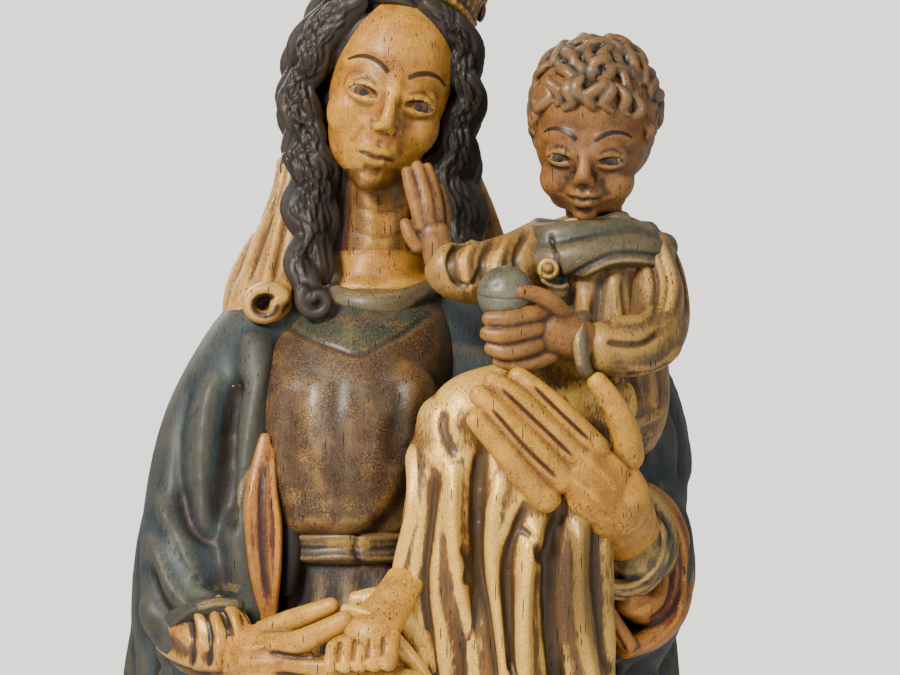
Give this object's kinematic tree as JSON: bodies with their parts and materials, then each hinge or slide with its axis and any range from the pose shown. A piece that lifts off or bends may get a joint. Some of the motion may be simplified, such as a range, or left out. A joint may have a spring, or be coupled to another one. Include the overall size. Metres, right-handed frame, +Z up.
{
  "type": "madonna and child statue",
  "caption": "Carved and painted wooden Madonna holding the Child, in doweled pieces on a moulded plinth, with a crown that lifts off.",
  "frame": {"origin": "centre of the plinth's underside, on the surface it stands on", "axes": "+Z up, -Y towards the viewer, +X to the viewer's right, the Child's side"},
  "size_m": [0.28, 0.2348, 0.8695],
  "materials": {
    "plinth_gilding": "worn gilding over dark glaze, satin",
    "ground_green": "dark green paint, rough",
    "dress_glaze": "brown glaze rubbed through to stippled gold, satin",
    "mantle_green": "blue-black green paint, satin, gold showing on edges",
    "sleeve_gold": "brown glaze over gold, satin",
    "lining_red": "rust-red glaze over gold, satin, chipped",
    "flesh_gold": "aged ochre flesh paint with fine dark speckle and slits, satin",
    "hair_dark": "charcoal paint, satin",
    "veil_gold": "worn gilding with brown glaze in the recesses, satin",
    "crown_gilding": "worn gilding with dark recesses, satin",
    "child_flesh": "dark aged flesh paint, satin",
    "child_hair": "copper-brown ridges over dark recesses, satin",
    "child_tunic": "brown glaze over gold, satin",
    "child_collar": "grey-green paint, satin",
    "child_robe_gold": "brown glaze rubbed through to gold on the ridges, satin",
    "orb_green": "dark green-grey paint, satin",
    "bare_dowel": "bare beech, matt",
    "bare_lime": "bare limewood darkened by age, matt",
    "iron_fixing": "dark iron with a little rust"
  },
  "bodies": {
    "figure": {"plinth": "plinth_gilding", "ground_mound": "ground_green", "plinth_screws": "iron_fixing", "plinth_washers": "iron_fixing", "dress_block": "dress_glaze", "back_board": "mantle_green", "back_board_nails": "iron_fixing", "mantle_right_block": "mantle_green", "mantle_left_block": "mantle_green", "sleeve_right": "sleeve_gold", "sleeve_left": "lining_red", "madonna_head": "flesh_gold", "madonna_veil": "veil_gold", "head_tenon": "bare_dowel", "crown_seat": "hair_dark", "hand_right": "flesh_gold", "hand_left": "flesh_gold", "wrist_dowel_right": "bare_dowel", "wrist_dowel_left": "bare_dowel", "child_torso": "child_tunic", "child_robe": "child_robe_gold", "child_head": "child_flesh", "child_arm_right": "child_tunic", "child_arm_left": "child_tunic", "child_foot": "flesh_gold", "orb": "orb_green", "child_neck_dowel": "bare_dowel", "child_arm_dowel_right": "bare_dowel", "child_arm_dowel_left": "bare_dowel", "child_foot_dowel": "bare_dowel", "orb_pin": "iron_fixing", "child_seat_dowels": "bare_dowel", "robe_dowels": "bare_dowel", "side_dowels_right": "bare_dowel", "side_dowels_left": "bare_dowel"},
    "crown": {"crown": "crown_gilding"}
  },
  "joints": [
    {"name": "crown_lift", "type": "slide", "parent": "figure", "child": "crown", "axis": [0.1928, 0.3746, 0.9069], "range_m": [0, 0.07]}
  ]
}
